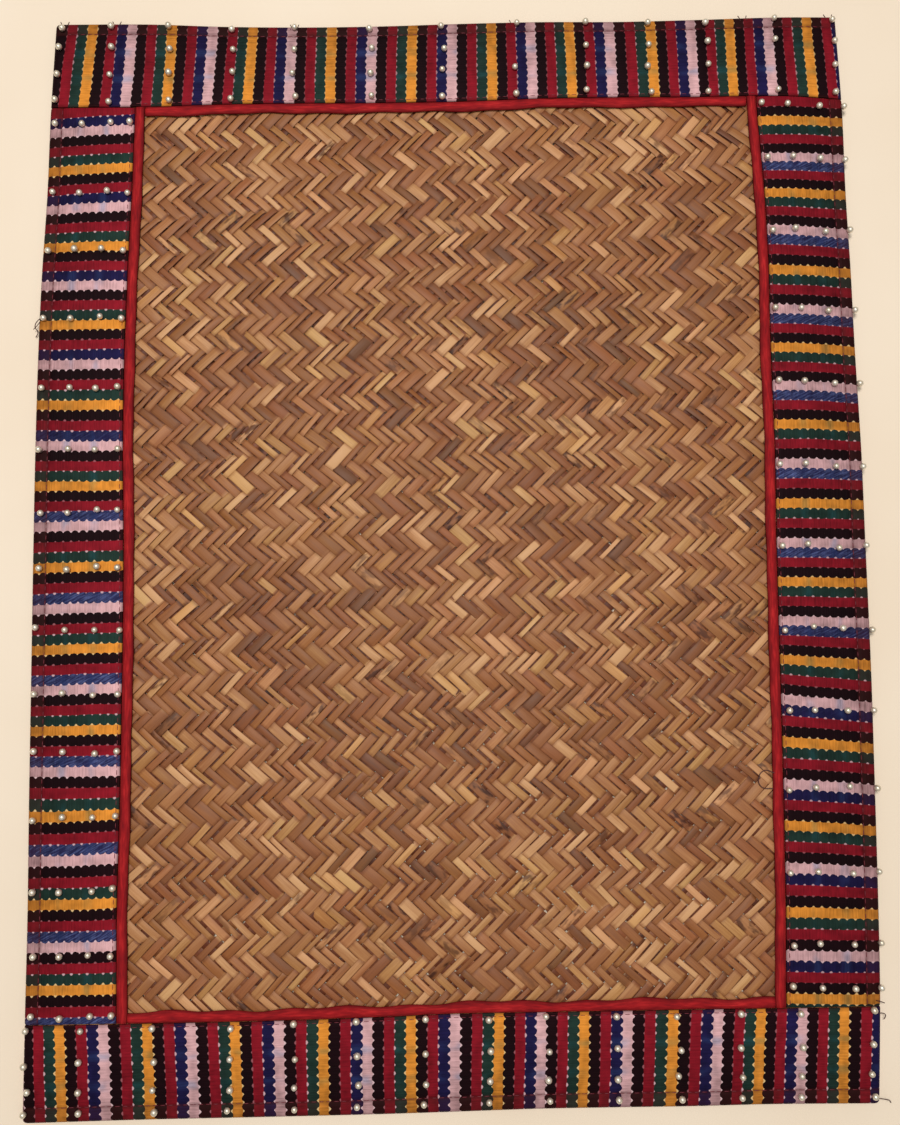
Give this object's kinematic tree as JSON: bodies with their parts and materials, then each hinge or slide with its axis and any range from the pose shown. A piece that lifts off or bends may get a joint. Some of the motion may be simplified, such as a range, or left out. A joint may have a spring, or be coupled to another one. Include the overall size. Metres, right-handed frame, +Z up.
{
  "type": "placemat",
  "caption": "Flat rectangular placemat: a woven cane panel bound with striped cloth bands, a thin red trim and sewn-on pearls.",
  "frame": {"origin": "middle of the mat's outline, on the surface that the mat lies on", "axes": "+X across the mat's short way, +Y along its long way towards the picture's top, +Z up through its thickness"},
  "size_m": [0.3326, 0.4396, 0.004],
  "materials": {
    "cane": "split cane strips, smooth and slightly glossy, each of its own tone",
    "striped_cloth": "handloom cloth with lengthwise stripes in red, black, green, yellow, blue and pink",
    "trim_cloth": "plain woven red cloth",
    "pearl": "ivory pearl, lustrous",
    "thread": "fine twisted sewing thread"
  },
  "bodies": {
    "root": {"cane_panel": "cane", "band_top": "striped_cloth", "band_bottom": "striped_cloth", "band_left": "striped_cloth", "band_right": "striped_cloth", "trim_top": "trim_cloth", "trim_bottom": "trim_cloth", "trim_left": "trim_cloth", "trim_right": "trim_cloth"}
  },
  "joints": []
}
